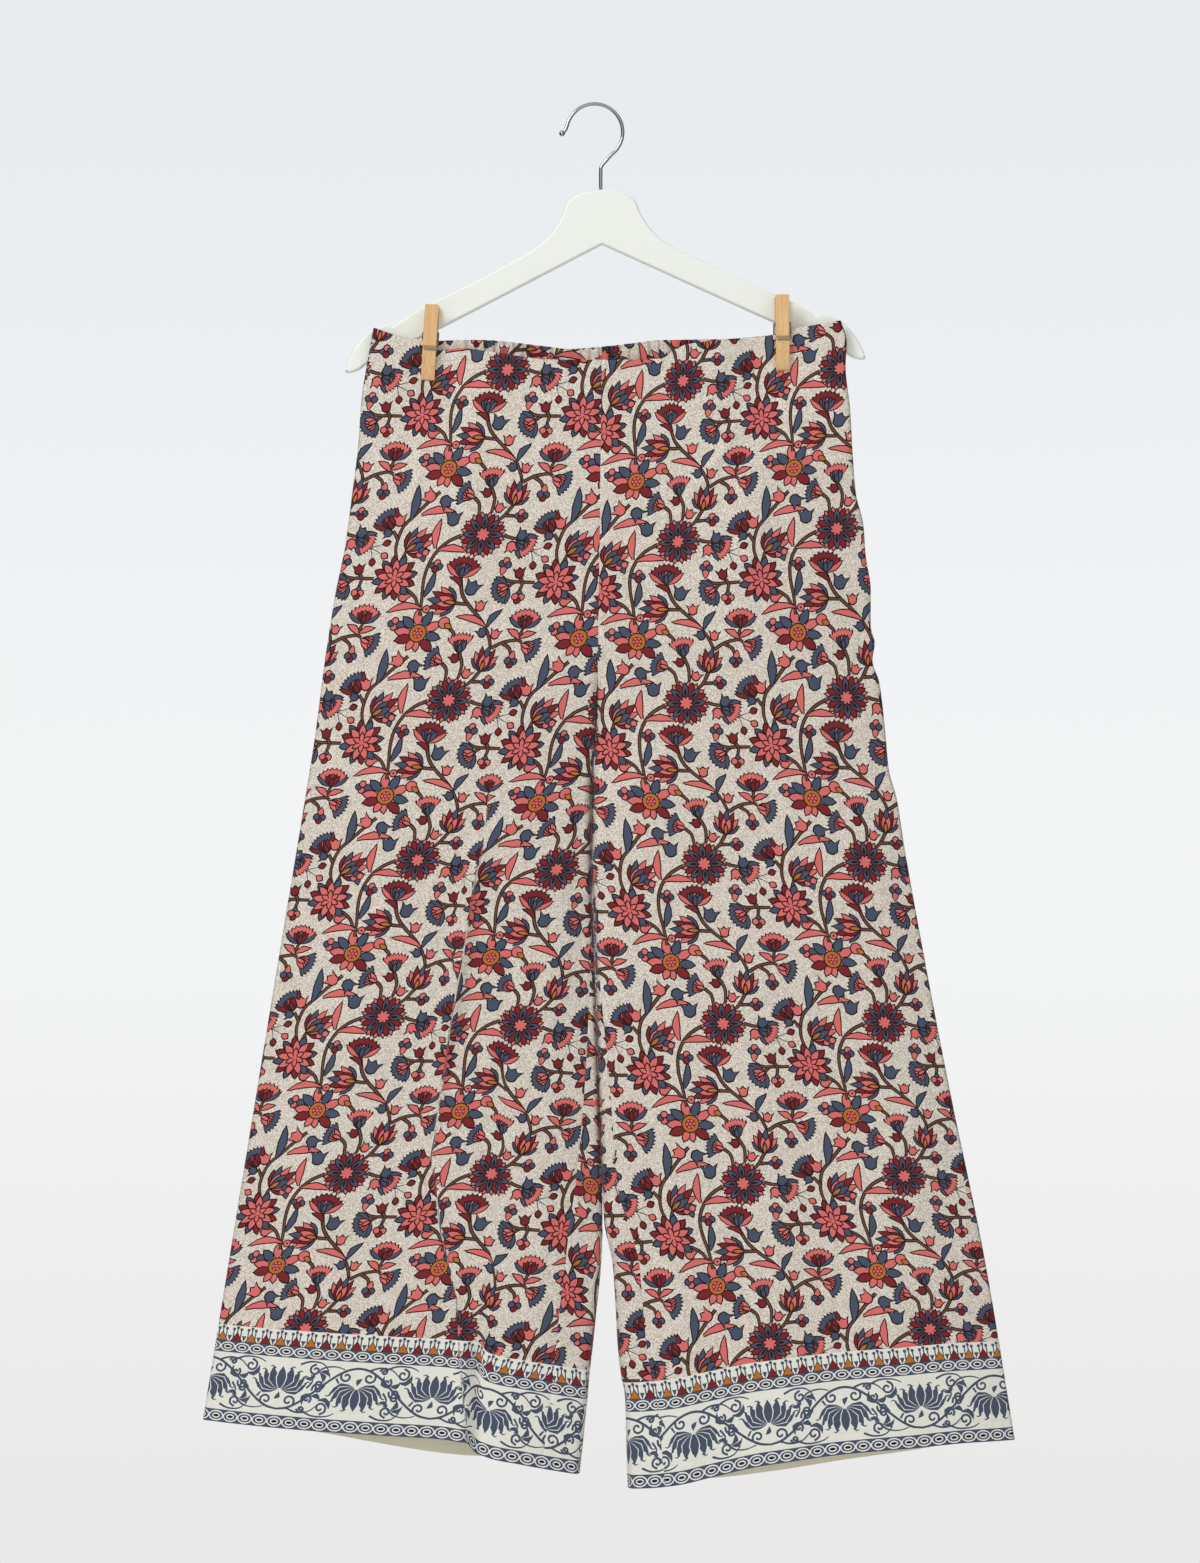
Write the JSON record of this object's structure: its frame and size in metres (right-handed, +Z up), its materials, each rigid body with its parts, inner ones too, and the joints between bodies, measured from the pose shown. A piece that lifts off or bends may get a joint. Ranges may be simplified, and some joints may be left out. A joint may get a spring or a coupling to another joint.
{
  "type": "palazzo pants on hanger",
  "caption": "Wide-leg palazzo pants with a flat front and a gathered elastic back waist, clipped by wooden clothes-pegs to a plain white hanger.",
  "frame": {"origin": "the inner top of the hook, where a rail holds the hanger", "axes": "+Z is up along the hanging garment, +X is to the viewer's right as the front is seen, and the front of the garment faces -Y"},
  "size_m": [0.6692, 0.0529, 1.1441],
  "materials": {
    "printed_cloth": "matt printed cotton",
    "hanger_paint": "satin white paint on wood",
    "hook_chrome": "polished chrome",
    "peg_wood": "plain sanded wood",
    "spring_steel": "dull galvanised wire"
  },
  "bodies": {
    "root": {"front_panel_left": "printed_cloth", "front_panel_right": "printed_cloth", "back_panel_left": "printed_cloth", "back_panel_right": "printed_cloth", "waistband_back": "printed_cloth", "hanger_body": "hanger_paint", "hook": "hook_chrome", "peg_left_front": "peg_wood", "peg_left_back": "peg_wood", "peg_right_front": "peg_wood", "peg_right_back": "peg_wood", "peg_left_spring": "spring_steel", "peg_right_spring": "spring_steel"}
  },
  "joints": []
}
